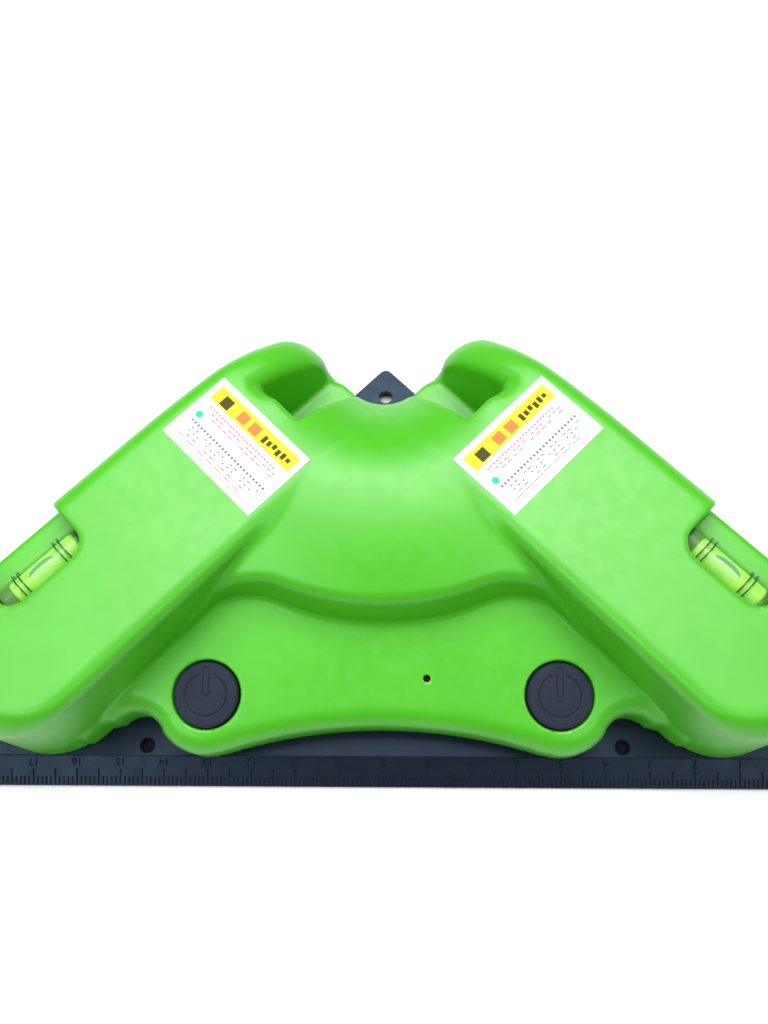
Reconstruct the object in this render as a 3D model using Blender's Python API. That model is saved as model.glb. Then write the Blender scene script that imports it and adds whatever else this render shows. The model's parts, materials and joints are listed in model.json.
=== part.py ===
"""A right-angle laser square: a ruler plate under a hollow housing with two laser arms.

Sizes are in millimetres. Plan positions are measured from the middle of the ruler edge,
X to the right and Y towards the apex. Positions on an arm are given in the arm's frame:
X along the laser line towards the front, Y outwards from the centre line, Z up.
The finished objects are in metres, with the origin under the middle of the whole object.
"""

import math

import bmesh
import bpy
from mathutils import Matrix, Vector

MM = 0.001
GAP = 0.3
SIDES = {"left": -1, "right": 1}

# Plate
APEX_Y, APEX_R = 105.4, 1.8
DEPTH = APEX_Y - APEX_R * (math.sqrt(2) - 1)
PLATE_THICK = 3.0
RULER_EDGE = 0.8
RULER_DEPTH = 6.4
PLATE_HALF_WIDTH = 95.0
LEG_ACROSS = 70.4
PIN_HOLE_R, PIN_HOLE_FLOOR = 1.8, 0.6
APEX_HOLE_Y = 97.0
PIN_HOLES = [(0, APEX_HOLE_Y, -2.0), (-54.0, 8.8, PIN_HOLE_FLOOR), (54.0, 8.8, PIN_HOLE_FLOOR)]

# Housing
WALL = 2.0
FLOOR = PLATE_THICK + GAP
ARM_REAR, ARM_FRONT = -60.4, 53.5
ARM_IN, ARM_OUT = 52.9, 92.5
ARM_TOP = 35.0
ARM_DROP, ARM_DROP_START = 12.6, -34.0
ARM_TAPER, ARM_TAPER_START = 0.09, -28.0
ROOF_FALL, ROOF_FALL_START = 0.075, 33.0
LIP_FALL, LIP_FALL_START = 0.2, 13.0
PANEL_Y, PANEL_Z = 18.5, 16.0
PANEL_TILT = math.radians(10.5)
LOBE = (39.5, 17.6, 11.3)
SCALLOP = (54.5, 8.8, 6.3)
BROW_R, BROW_Y = 120.0, 12.2

# Laser channels, vials and labels, in the arm's frame
BEAM_ACROSS, BEAM_Z = 72.5, 22.0
CHANNEL_WALL = -40.6
CHANNEL = (67.0, 77.0, 15.0)
VIAL_ALONG, VIAL_ACROSS, VIAL_Z = 20.8, 81.4, 27.6
VIAL_R, VIAL_LENGTH = 4.2, 20.6
WINDOW = (10.2, 31.4, 76.8, 85.8)
WINDOW_FLOOR, STRIP_TOP = 23.0, 27.0
LABEL = (-35.8, -17.8, 57.4, 85.6)
LABEL_THICK = 0.3

# Buttons, board and indicator, in the panel's frame
BUTTON_X = 38.4
BUTTON_R, BUTTON_HOLE_R = 7.1, 7.5
INDICATOR = (9.7, 3.6)
BOARD = (-45.0, 45.0, -5.5, 9.0)
BOARD_TOP, BOARD_THICK = -7.7, 1.6
BOARD_SCREWS = [(-24.0, -2.5), (24.0, -2.5), (-12.0, 5.5)]

# Battery bay
CELL_R, CELL_BODY, NUB_R, NUB = 7.1, 49.2, 2.75, 1.3
CELL_ROWS = (46.4, 61.4)
CELL_Z = 9.05
BAY_HALF, BAY_WALL = 27.6, 1.0
BAY_FRONT, BAY_BACK, BAY_TOP = 38.9, 68.9, 16.5
DOOR_LOW, DOOR_HIGH = 0.25, 1.65

# Screws through the plate: plan position and the top of the boss that each one enters
BOSS_R, BOSS_HOLE_R = 3.3, 1.3
ARM_BOSSES = [(44.0, 66.0), (-21.0, 85.0)]
CLAMP_ALONG = -32.0
EAR_OFFSETS = (-8.7, 8.7)
ARCH_HALF, CRADLE_HALF = 6.7, 10.8


def frame_base():
    """Plan positions, measured from the ruler edge, placed about the object's middle."""
    return Matrix.Translation((0, -DEPTH / 2, 0))


def frame_arm(side):
    """The frame of one arm. It is mirrored on the left side, so normals are made new."""
    half = math.sqrt(0.5)
    turn = Matrix(((side * half, side * half, 0), (-half, half, 0), (0, 0, 1)))
    return frame_base() @ turn.to_4x4()


def frame_panel():
    place = Matrix.Translation((0, PANEL_Y, PANEL_Z))
    return frame_base() @ place @ Matrix.Rotation(PANEL_TILT, 4, "X")


def material(name, colour, roughness, metallic=0.0):
    made = bpy.data.materials.new(name)
    made.use_nodes = True
    shader = made.node_tree.nodes["Principled BSDF"]
    shader.inputs["Base Color"].default_value = (*colour, 1)
    shader.inputs["Roughness"].default_value = roughness
    shader.inputs["Metallic"].default_value = metallic
    return made


def add(name, shape, frame, look, origin=None):
    """Makes an object from a shape in millimetres. Its origin is a point of the frame."""
    shape.transform(frame)
    start = frame @ Vector(origin) if origin else Vector()
    shape.transform(Matrix.Scale(MM, 4) @ Matrix.Translation(-start))
    bmesh.ops.recalc_face_normals(shape, faces=shape.faces)
    mesh = bpy.data.meshes.new(name)
    shape.to_mesh(mesh)
    shape.free()
    mesh.shade_smooth()
    mesh.set_sharp_from_angle(angle=math.radians(35))
    mesh.materials.append(look)
    made = bpy.data.objects.new(name, mesh)
    made.location = start * MM
    bpy.context.scene.collection.objects.link(made)
    return made


def helper(name, shape, frame):
    """A cutter or a core: it shapes other objects and isn't part of the object itself."""
    made = add(name, shape, frame, LOOKS["helper"])
    made.hide_render = True
    made.display_type = "WIRE"
    return made


def combine(target, tool, operation):
    step = target.modifiers.new(f"{operation.lower()}_{tool.name}", "BOOLEAN")
    step.operation = operation
    step.object = tool
    step.solver = "EXACT"


def loft(rings):
    """A closed solid through rings of points that all have the same count."""
    shape = bmesh.new()
    made = [[shape.verts.new(point) for point in ring] for ring in rings]
    for low, high in zip(made, made[1:]):
        for i in range(len(low)):
            j = (i + 1) % len(low)
            shape.faces.new((low[i], low[j], high[j], high[i]))
    shape.faces.new(made[0])
    shape.faces.new(made[-1])
    return shape


def prism(outline, low, high):
    return loft([[(x, y, z) for x, y in outline] for z in (low, high)])


def side_prism(outline, left, right):
    """A shape with one outline in Y and Z all along X."""
    return loft([[(x, y, z) for y, z in outline] for x in (left, right)])


def block(x0, x1, y0, y1, z0, z1):
    return prism([(x0, y0), (x1, y0), (x1, y1), (x0, y1)], z0, z1)


def circle(x, y, radius, steps, start=0.0, turn=2 * math.pi):
    """Points round a circle. A part turn includes both of its ends."""
    whole = abs(turn) >= 2 * math.pi
    count = steps if whole else steps + 1
    angles = [start + turn * i / steps for i in range(count)]
    return [(x + radius * math.cos(a), y + radius * math.sin(a)) for a in angles]


def turned(profile, steps=24):
    """A solid turned about Z from (radius, height) pairs that run upwards."""
    return loft([[(x, y, z) for x, y in circle(0, 0, r, steps)] for r, z in profile])


def rod(radius, low, high, steps=24):
    return turned([(radius, low), (radius, high)], steps)


def along_x(shape, x, y, z):
    """Lays a shape that stands on Z along +X, with its foot at the point."""
    turn = Matrix(((0, 0, 1), (0, 1, 0), (-1, 0, 0))).to_4x4()
    shape.transform(Matrix.Translation((x, y, z)) @ turn)
    return shape


def moved(shape, x, y, z=0.0):
    shape.transform(Matrix.Translation((x, y, z)))
    return shape


def rounded(corners, steps=6):
    """A polygon whose corners (x, y, radius) are rounded by arcs."""
    points = []
    for i, (x, y, radius) in enumerate(corners):
        here = Vector((x, y))
        before = (Vector(corners[i - 1][:2]) - here).normalized()
        after = (Vector(corners[(i + 1) % len(corners)][:2]) - here).normalized()
        half = before.angle(after) / 2
        if radius == 0:
            points.append((x, y))
            continue
        centre = here + (before + after).normalized() * radius / math.sin(half)
        first = here + before * radius / math.tan(half) - centre
        turn = (math.pi - 2 * half) * (1 if before.cross(after) < 0 else -1)
        points += circle(*centre, radius, steps, math.atan2(first.y, first.x), turn)
    return points


def mirrored(half):
    """A whole outline from its right half, which starts and ends on the centre line."""
    return half + [(-x, y, *rest) for x, y, *rest in reversed(half) if x > 1e-6]


def on_arm(along, across):
    """The plan position of a point on the right arm."""
    return (along + across) / math.sqrt(2), (across - along) / math.sqrt(2)


def corner(distance, along, across):
    """How far an elliptical corner draws the outline in, at a distance from its end."""
    share = 1 - min(distance / along, 1)
    return across * (1 - math.sqrt(1 - share * share))


def arm_ring(height, inset, inner_inset):
    """One level of an arm: both long edges at the same stations along the arm."""
    rear, front = ARM_REAR + inset, ARM_FRONT - inset
    rear_ends = (0, 0.6, 1.8, 3.6, 6, 12, 20, 28)
    front_ends = (0, 0.5, 1.5, 3, 5, 8, 12, 18)
    stations = [rear + d for d in rear_ends] + [front - d for d in reversed(front_ends)]
    outer, inner = [], []
    for along in stations:
        behind, ahead = along - rear, front - along
        drop = ARM_DROP * (max(ARM_DROP_START - along, 0) / (ARM_DROP_START - ARM_REAR)) ** 2
        z = height - drop * max(height, 0) / ARM_TOP
        taper = ARM_TAPER * max(ARM_TAPER_START - along, 0)
        out = max(corner(behind, 6, 6) + taper, corner(ahead, 12, 12))
        into = max(corner(behind, 4, 4), corner(ahead, 18, 15.5))
        outer.append((along, ARM_OUT - inset - out, z))
        inner.append((along, ARM_IN + inner_inset + into, z))
    return outer, inner


def arm_shape(levels):
    """An arm through levels of (height, inset, inner inset), closed by strips across."""
    shape = bmesh.new()
    rings = []
    for level in levels:
        outer, inner = arm_ring(*level)
        rings.append([shape.verts.new(p) for p in outer + inner[::-1]])
    for low, high in zip(rings, rings[1:]):
        for i in range(len(low)):
            j = (i + 1) % len(low)
            shape.faces.new((low[i], low[j], high[j], high[i]))
    for ring in (rings[0], rings[-1]):
        last = len(ring) - 1
        for i in range(len(ring) // 2 - 1):
            shape.faces.new((ring[i], ring[i + 1], ring[last - i - 1], ring[last - i]))
    return shape


def front_outline(inset):
    """The housing's lower outline in front: a hollow brow, two lobes and two scallops."""
    x, y, radius = LOBE
    sx, sy, scallop = SCALLOP
    reach = math.atan2(x, y - BROW_Y + BROW_R)
    brow = circle(0, BROW_Y - BROW_R, BROW_R + inset, 6, math.pi / 2, -reach)
    to_scallop = math.atan2(sy - y, sx - x)
    from_brow = -math.pi / 2 - reach
    lobe = circle(x, y, radius - inset, 10, from_brow, to_scallop - from_brow)
    notch_start = to_scallop + math.pi
    notch = circle(sx, sy, scallop + inset, 8, notch_start, math.radians(58) - notch_start)
    half = brow + lobe[1:] + notch[1:] + [(61.5, 13.9), (66, 16), (42, 46), (0, 52)]
    return mirrored(half)


def panel_shape(inset, low, drop):
    """The low front body, cut off on top by the tilted panel plane."""
    shape = prism(front_outline(inset), low, ARM_TOP)
    up = Vector((0, -math.sin(PANEL_TILT), math.cos(PANEL_TILT)))
    point = Vector((0, PANEL_Y, PANEL_Z)) - up * drop
    everything = shape.verts[:] + shape.edges[:] + shape.faces[:]
    cut = bmesh.ops.bisect_plane(
        shape, geom=everything, plane_co=point, plane_no=up, clear_outer=True
    )["geom_cut"]
    rim = [piece for piece in cut if isinstance(piece, bmesh.types.BMEdge)]
    bmesh.ops.edgenet_fill(shape, edges=rim)
    return shape


def dome_shape(profile):
    """A fan turned about the apex hole from (radius, height) pairs, between the arms."""
    half_turn, steps = math.radians(50), 20
    rings = []
    for i in range(steps + 1):
        angle = -math.pi / 2 + half_turn * (2 * i / steps - 1)
        ring = [(r * math.cos(angle), r * math.sin(angle) + APEX_HOLE_Y, z) for r, z in profile]
        rings.append(ring)
    return loft(rings)


ARM_OUTSIDE = [
    (-1, 0, 0), (20, 0.9, 0.6), (30.6, 1.4, 0.9), (32.6, 2.0, 1.5), (34.3, 3.7, 3.2),
    (35, 6.3, 5.8),
]  # fmt: skip
ARM_INSIDE = [(-6, 2.0, 2.0), (20, 2.9, 2.6), (29, 3.4, 3.0), (31.5, 4.4, 4.0), (33, 7.2, 6.8)]
DOME_OUTSIDE = [
    (8.3, -2), (8.3, 34.9), (34, 34.8), (43, 33.9), (52, 32.1), (59, 30), (61, 28.8),
    (63.6, 18), (64.2, -2),
]  # fmt: skip
DOME_INSIDE = [
    (10.3, -7), (10.3, 32.7), (34, 32.6), (43, 31.7), (52, 29.9), (58.4, 27.9), (59.4, 27),
    (61.6, 18), (62, -7),
]  # fmt: skip


def above_roof(lower):
    """Everything over the roof where it falls to the apex hole, between the channels."""
    points = [(1.0, roof_height(7.4) - lower)]
    points += [(r, roof_height(r) - lower) for r in (7.4, 9, 11, 13, 17, 20, 23, 26, 29, 33)]
    steps = 50
    rings = [[(r * c, r * s + APEX_HOLE_Y, z) for c, s in circle(0, 0, 1, steps)] for r, z in points]
    rings.append([(33 * c, 33 * s + APEX_HOLE_Y, 60) for c, s in circle(0, 0, 1, steps)])
    return loft(rings)


def roof_height(r):
    """How high the roof is at a distance from the apex hole, where it falls towards it."""
    fall = ROOF_FALL * max(ROOF_FALL_START - r, 0) ** 1.7
    return ARM_TOP - fall - LIP_FALL * max(LIP_FALL_START - r, 0) ** 2


def cut_roof(target, lower, name):
    """Lets the roof of both arms and the dome fall together towards the apex hole."""
    space = helper(name, above_roof(lower), frame_base())
    across = BEAM_ACROSS - 0.5
    top, low = across * math.sqrt(2), 40.0
    wedge = prism([(0, top), (low - top, low), (top - low, low)], 0, 70)
    combine(space, helper(f"{name}_between_channels", wedge, frame_base()), "INTERSECT")
    combine(target, space, "DIFFERENCE")


def housing_core():
    """The hollow inside of the housing, as one solid."""
    core = helper("core_panel", panel_shape(WALL * 0.8, -5, WALL), frame_base())
    dome = helper("core_dome", dome_shape(DOME_INSIDE), frame_base())
    combine(core, dome, "UNION")
    near, far, floor = CHANNEL
    along0, along1, across0, _ = WINDOW
    for word, side in SIDES.items():
        arm = helper(f"core_arm_{word}", arm_shape(ARM_INSIDE), frame_arm(side))
        combine(core, arm, "UNION")
    cut_roof(core, WALL * 1.25, "above_core")
    for word, side in SIDES.items():
        walls = block(-70, CHANNEL_WALL + WALL, near - WALL, far + WALL, floor - WALL, 50)
        combine(core, helper(f"channel_walls_{word}", walls, frame_arm(side)), "DIFFERENCE")
        walls = block(
            along0 - WALL, along1 + WALL, across0 - WALL, ARM_OUT + 9, WINDOW_FLOOR - WALL, 50
        )
        combine(core, helper(f"window_walls_{word}", walls, frame_arm(side)), "DIFFERENCE")
    return core


def housing():
    """The green shell, with its channels, windows, bosses and posts."""
    shell = add("upper_housing", panel_shape(0, -3, 0), frame_base(), LOOKS["green"])
    combine(shell, helper("outer_dome", dome_shape(DOME_OUTSIDE), frame_base()), "UNION")
    for word, side in SIDES.items():
        arm = helper(f"outer_arm_{word}", arm_shape(ARM_OUTSIDE), frame_arm(side))
        combine(shell, arm, "UNION")
    below = block(-150, 150, -50, 150, -20, FLOOR)
    combine(shell, helper("below_housing", below, frame_base()), "DIFFERENCE")
    combine(shell, housing_core(), "DIFFERENCE")
    near, far, floor = CHANNEL
    along0, along1, across0, across1 = WINDOW
    outside = ARM_OUT + 9
    window = [(across0, WINDOW_FLOOR), (across1, WINDOW_FLOOR), (across1, STRIP_TOP),
              (outside, STRIP_TOP), (outside, 50), (across0, 50)]  # fmt: skip
    for word, side in SIDES.items():
        cuts = {
            "channel": block(-70, CHANNEL_WALL, near, far, floor, 50),
            "window": side_prism(window, along0, along1),
            "beam": along_x(rod(3.0, 0, 6), CHANNEL_WALL - 2, BEAM_ACROSS, BEAM_Z),
        }
        for cut, shape in cuts.items():
            combine(shell, helper(f"{cut}_{word}", shape, frame_arm(side)), "DIFFERENCE")
        hole = moved(rod(BUTTON_HOLE_R, -4, 4, 32), side * BUTTON_X, 0)
        combine(shell, helper(f"button_hole_{word}", hole, frame_panel()), "DIFFERENCE")
    hole = moved(rod(0.8, -4, 4, 12), *INDICATOR)
    combine(shell, helper("indicator_hole", hole, frame_panel()), "DIFFERENCE")
    for number, (x, y, top) in enumerate(plate_screws(), 1):
        boss = moved(rod(BOSS_R, FLOOR, top, 16), x, y)
        combine(shell, helper(f"boss_{number}", boss, frame_base()), "UNION")
        pilot = moved(rod(BOSS_HOLE_R, 0, 13, 12), x, y)
        combine(shell, helper(f"boss_hole_{number}", pilot, frame_base()), "DIFFERENCE")
    for number, (x, y) in enumerate(BOARD_SCREWS, 1):
        post = moved(rod(2.4, BOARD_TOP + GAP, -WALL / 2, 14), x, y)
        combine(shell, helper(f"board_post_{number}", post, frame_panel()), "UNION")
        pilot = moved(rod(1.05, BOARD_TOP - 1, -WALL - 0.8, 10), x, y)
        combine(shell, helper(f"board_post_hole_{number}", pilot, frame_panel()), "DIFFERENCE")
    cut_roof(shell, 0, "above_roof")


def plate_screws():
    """Each housing screw's plan position, and the top of its boss inside the roof."""
    places = [(0, 20.0, 14.9), (0, 80.0, 29.0)]
    for side in SIDES.values():
        for along, across in ARM_BOSSES:
            x, y = on_arm(along, across)
            places.append((side * x, y, ARM_TOP - 1.0))
    return places


def plate_outline():
    inset = 1.5
    rear, front = ARM_REAR + inset, ARM_FRONT - inset
    edge = APEX_Y / math.sqrt(2)
    half = [
        (0, 0, 0),
        (PLATE_HALF_WIDTH, 0, 1.2),
        (PLATE_HALF_WIDTH, LEG_ACROSS * math.sqrt(2) - PLATE_HALF_WIDTH, 1.2),
        (*on_arm(front, LEG_ACROSS), 0),
        (*on_arm(front, ARM_OUT - inset), 12),
        (*on_arm(rear, ARM_OUT - inset - ARM_TAPER * (ARM_TAPER_START - rear)), 7),
        (*on_arm(rear, edge), 0),
        (0, APEX_Y, APEX_R),
    ]
    return rounded(mirrored(half))


def bay_outline(grow):
    """The battery bay's section along the cells, with its roof corners cut off."""
    shoulder = 11.5 + grow / 2
    return [
        (BAY_FRONT - grow, -2),
        (BAY_FRONT - grow, shoulder),
        (BAY_FRONT + 2.6 - grow / 2, BAY_TOP + grow),
        (BAY_BACK - 2.6 + grow / 2, BAY_TOP + grow),
        (BAY_BACK + grow, shoulder),
        (BAY_BACK + grow, -2),
    ]


def base_plate():
    plate = add("base_plate", prism(plate_outline(), 0, PLATE_THICK), frame_base(), LOOKS["black"])
    wedge = [
        (-5, RULER_EDGE - 5 * (PLATE_THICK - RULER_EDGE) / RULER_DEPTH),
        (RULER_DEPTH * 2, PLATE_THICK * 2 - RULER_EDGE),
        (RULER_DEPTH * 2, 9),
        (-5, 9),
    ]
    reach = PLATE_HALF_WIDTH + 5
    bevel = helper("ruler_bevel", side_prism(wedge, -reach, reach), frame_base())
    combine(plate, bevel, "DIFFERENCE")
    outside = [(y, max(z, 1.0)) for y, z in bay_outline(BAY_WALL)]
    half = BAY_HALF + BAY_WALL
    combine(plate, helper("bay_walls", side_prism(outside, -half, half), frame_base()), "UNION")
    for word, side in SIDES.items():
        low, high = BEAM_ACROSS - CRADLE_HALF, BEAM_ACROSS + CRADLE_HALF
        cradle = block(CLAMP_ALONG - 5, CLAMP_ALONG + 5, low, high, 1.0, BEAM_Z - GAP)
        combine(plate, helper(f"cradle_{word}", cradle, frame_arm(side)), "UNION")
        seat = along_x(rod(5.0 + GAP, 0, 40), -60, BEAM_ACROSS, BEAM_Z)
        combine(plate, helper(f"cradle_seat_{word}", seat, frame_arm(side)), "DIFFERENCE")
        for number, offset in enumerate(EAR_OFFSETS, 1):
            hole = rod(1.05, BEAM_Z - 7, BEAM_Z + 2, 10)
            hole = moved(hole, CLAMP_ALONG, BEAM_ACROSS + offset)
            name = f"cradle_hole_{number}_{word}"
            combine(plate, helper(name, hole, frame_arm(side)), "DIFFERENCE")
        tongue = block(side * 15 - 4.2, side * 15 + 4.2, BAY_BACK - 2, BAY_BACK + 3, 1.8, 4.0)
        combine(plate, helper(f"tongue_slot_{word}", tongue, frame_base()), "DIFFERENCE")
    inside = side_prism(bay_outline(0), -BAY_HALF, BAY_HALF)
    combine(plate, helper("bay_hollow", inside, frame_base()), "DIFFERENCE")
    latch = block(-6, 6, BAY_FRONT - 5, BAY_FRONT + 1, -1, 1.9)
    combine(plate, helper("latch_recess", latch, frame_base()), "DIFFERENCE")
    for number, row in enumerate(CELL_ROWS, 1):
        slot = block(BAY_HALF - 1, BAY_HALF + 3, row - 1.5, row + 1.5, CELL_Z - 0.6, CELL_Z + 0.6)
        combine(plate, helper(f"terminal_slot_{number}", slot, frame_base()), "DIFFERENCE")
    for number, (x, y, low) in enumerate(PIN_HOLES, 1):
        hole = moved(rod(PIN_HOLE_R, low, 6, 24), x, y)
        combine(plate, helper(f"pin_hole_{number}", hole, frame_base()), "DIFFERENCE")
    for number, (x, y, _) in enumerate(plate_screws(), 1):
        hole = moved(turned([(2.9, -1), (2.9, 1.7), (1.4, 1.7), (1.4, 6)], 16), x, y)
        combine(plate, helper(f"screw_hole_{number}", hole, frame_base()), "DIFFERENCE")


def battery_door():
    half = BAY_HALF - 0.3
    front, back = BAY_FRONT + 0.3, BAY_BACK - 0.3
    shape = block(-half, half, front, back, DOOR_LOW, DOOR_HIGH)
    hinge_line = (0, back, DOOR_LOW)
    door = add("battery_door", shape, frame_base(), LOOKS["black"], hinge_line)
    latch = block(-5, 5, front - 3.6, front + 1, DOOR_LOW, 1.4)
    combine(door, helper("door_latch", latch, frame_base()), "UNION")
    for word, side in SIDES.items():
        foot = side * 15
        outline = [(back - 2.2, 1.2), (back - 0.1, 1.2), (back - 0.1, 2.1), (back + 2, 2.1),
                   (back + 2, 2.9), (back - 2.2, 2.9)]  # fmt: skip
        tongue = side_prism(outline, foot - 3.6, foot + 3.6)
        combine(door, helper(f"door_tongue_{word}", tongue, frame_base()), "UNION")


def cells_and_contacts():
    facing = BAY_HALF - 0.7
    for number, (row, way) in enumerate(zip(CELL_ROWS, (1, -1)), 1):
        profile = [(CELL_R - 0.5, 0), (CELL_R, 0.5), (CELL_R, CELL_BODY - 0.5)]
        profile += [(CELL_R - 0.5, CELL_BODY), (NUB_R, CELL_BODY), (NUB_R, CELL_BODY + NUB)]
        cell = turned(profile, 28)
        if way < 0:
            cell.transform(Matrix.Rotation(math.pi, 4, "X"))
        start = way * (facing - GAP - CELL_BODY - NUB)
        add(f"battery_cell_{number}", along_x(cell, start, row, CELL_Z), frame_base(), LOOKS["cell"])
        spring(f"battery_spring_{number}", -way * (facing - GAP), start - way * GAP, row)
    first, last = CELL_ROWS
    bridge = block(-facing - 0.4, -facing, first - 5, last + 5, CELL_Z - 4.5, CELL_Z + 4.5)
    add("bridge_contact", bridge, frame_base(), LOOKS["steel"])
    for name, row in (("positive_contact", first), ("negative_contact", last)):
        plate = block(facing, facing + 0.4, row - 4.5, row + 4.5, CELL_Z - 4.5, CELL_Z + 4.5)
        contact = add(name, plate, frame_base(), LOOKS["steel"])
        tab = block(facing + 0.2, facing + 3.2, row - 1.1, row + 1.1, CELL_Z - 0.2, CELL_Z + 0.2)
        combine(contact, helper(f"{name}_tab", tab, frame_base()), "UNION")


def wire(name, points, radius, look, resolution=2):
    """A round wire through points in metres."""
    curve = bpy.data.curves.new(name, "CURVE")
    curve.dimensions = "3D"
    curve.bevel_depth = radius * MM
    curve.bevel_resolution = resolution
    curve.use_fill_caps = True
    line = curve.splines.new("POLY")
    line.points.add(len(points) - 1)
    for spot, point in zip(line.points, points):
        spot.co = (*point, 1)
    curve.materials.append(look)
    made = bpy.data.objects.new(name, curve)
    bpy.context.scene.collection.objects.link(made)
    return made


def spring(name, plate_x, cell_x, row):
    """A conical contact spring, wide at its plate and narrow at the cell."""
    turns, per_turn, thick = 2.5, 10, 0.35
    way = 1 if cell_x > plate_x else -1
    low, high = plate_x + way * thick, cell_x - way * thick
    points = []
    for i in range(int(turns * per_turn) + 1):
        share = i / (turns * per_turn)
        angle = 2 * math.pi * turns * share
        radius = 4.4 - 2.2 * share
        spot = (low + (high - low) * share, row + radius * math.cos(angle),
                CELL_Z + radius * math.sin(angle))  # fmt: skip
        points.append(frame_base() @ Vector(spot) * MM)
    wire(name, points, thick, LOOKS["steel"], 1)


def smooth_route(corners, steps=4):
    """Points of a smooth curve through the corners of a route."""
    ends = [corners[0], *corners, corners[-1]]
    points = []
    for a, b, c, d in zip(ends, ends[1:], ends[2:], ends[3:]):
        a, b, c, d = map(Vector, (a, b, c, d))
        for k in range(steps):
            t = k / steps
            points.append(
                b
                + (c - a) * (t / 2)
                + (2 * a - 5 * b + 4 * c - d) * (t * t / 2)
                + (3 * b - 3 * c + d - a) * (t**3 / 2)
            )
    points.append(Vector(corners[-1]))
    return [frame_base() @ point * MM for point in points]


def leads():
    routes = {
        "battery_lead_red": [(31.1, 46.4, 9), (33, 44.5, 8.2), (33, 36, 7.4), (31, 29.5, 8.6)],
        "battery_lead_black": [(31.1, 61.4, 9), (34.5, 58, 7), (36, 44, 6), (34.5, 34, 6.8),
                               (34, 29.5, 8.6)],
    }  # fmt: skip
    for word, side in SIDES.items():
        x, y = on_arm(-10.4, BEAM_ACROSS)
        routes[f"laser_lead_{word}"] = [
            (side * x, y, BEAM_Z), (side * (x + 1.2), y - 4, 20.5), (side * 42.5, 48, 14.5),
            (side * 40.5, 38, 9.5), (side * 38, 29.5, 8.6),
        ]  # fmt: skip
    for name, corners in routes.items():
        look = LOOKS["red"] if name.endswith("red") else LOOKS["black"]
        wire(name, smooth_route(corners), 0.6, look)


def buttons_and_board():
    for word, side in SIDES.items():
        x = side * BUTTON_X
        stem = [(2.6, -3.25), (2.6, -3.1), (7.9, -3.1), (7.9, -2.3), (BUTTON_R, -2.3)]
        crown = [(BUTTON_R, 0.5), (BUTTON_R - 0.5, 1.0), (3.5, 1.25)]
        cap = moved(turned(stem + crown, 32), x, 0)
        add(f"power_button_{word}", cap, frame_panel(), LOOKS["rubber"], (x, 0, 0))
        plunger = moved(rod(1.5, -5.7, -3.55, 14), x, 0)
        add(f"switch_plunger_{word}", plunger, frame_panel(), LOOKS["white"], (x, 0, -5))
        switch = block(x - 4, x + 4, -4, 4, -7.4, -4.6)
        body = add(f"power_switch_{word}", switch, frame_panel(), LOOKS["black"])
        well = moved(rod(1.85, -7.05, -3, 14), x, 0)
        combine(body, helper(f"switch_well_{word}", well, frame_panel()), "DIFFERENCE")
    bottom = BOARD_TOP - BOARD_THICK
    board = add("circuit_board", block(*BOARD, bottom, BOARD_TOP), frame_panel(), LOOKS["board"])
    hole = moved(rod(BOSS_R + 0.7, -2, 15, 20), 0, 20.0)
    combine(board, helper("board_boss_hole", hole, frame_base()), "DIFFERENCE")
    for number, (x, y) in enumerate(BOARD_SCREWS, 1):
        hole = moved(rod(1.1, bottom - 1, BOARD_TOP + 1, 10), x, y)
        combine(board, helper(f"board_hole_{number}", hole, frame_panel()), "DIFFERENCE")
        shank = [(0.75, bottom), (0.75, -3.4)]
        screw(f"board_screw_{number}", 1.9, 1.1, bottom - GAP, shank, x, y, frame_panel())
    lamp = moved(turned([(1.5, -7.4), (1.5, -4.2), (1.1, -3.3), (0.5, -3.0)], 14), *INDICATOR)
    add("indicator_lamp", lamp, frame_panel(), LOOKS["red"])


def screw(name, head_r, head, seat, shank, x, y, frame, down=True):
    """A pan-head screw with a cross recess. Its head lies below the seat, or above it."""
    low, high = (seat - head, seat) if down else (seat, seat + head)
    if down:
        profile = [(head_r * 0.8, low), (head_r, low + head * 0.4), (head_r, high)]
        profile += [(shank[0][0], high), *shank[1:]]
    else:
        profile = [*shank, (shank[-1][0], low), (head_r, low), (head_r, high - head * 0.4)]
        profile += [(head_r * 0.8, high)]
    made = add(name, moved(turned(profile, 14), x, y), frame, LOOKS["steel"], (x, y, seat))
    face = low if down else high
    for number, (wide, long) in enumerate(((0.3, head_r * 0.6), (head_r * 0.6, 0.3)), 1):
        bar = block(x - wide, x + wide, y - long, y + long, face - head * 0.45, face + head * 0.45)
        combine(made, helper(f"{name}_recess_{number}", bar, frame), "DIFFERENCE")


def housing_screws():
    for number, (x, y, _) in enumerate(plate_screws(), 1):
        shank = [(1.0, 1.5), (1.0, 11.5), (0.4, 12.4)]
        screw(f"housing_screw_{number}", 2.5, 1.3, 1.5, shank, x, y, frame_base())


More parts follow.
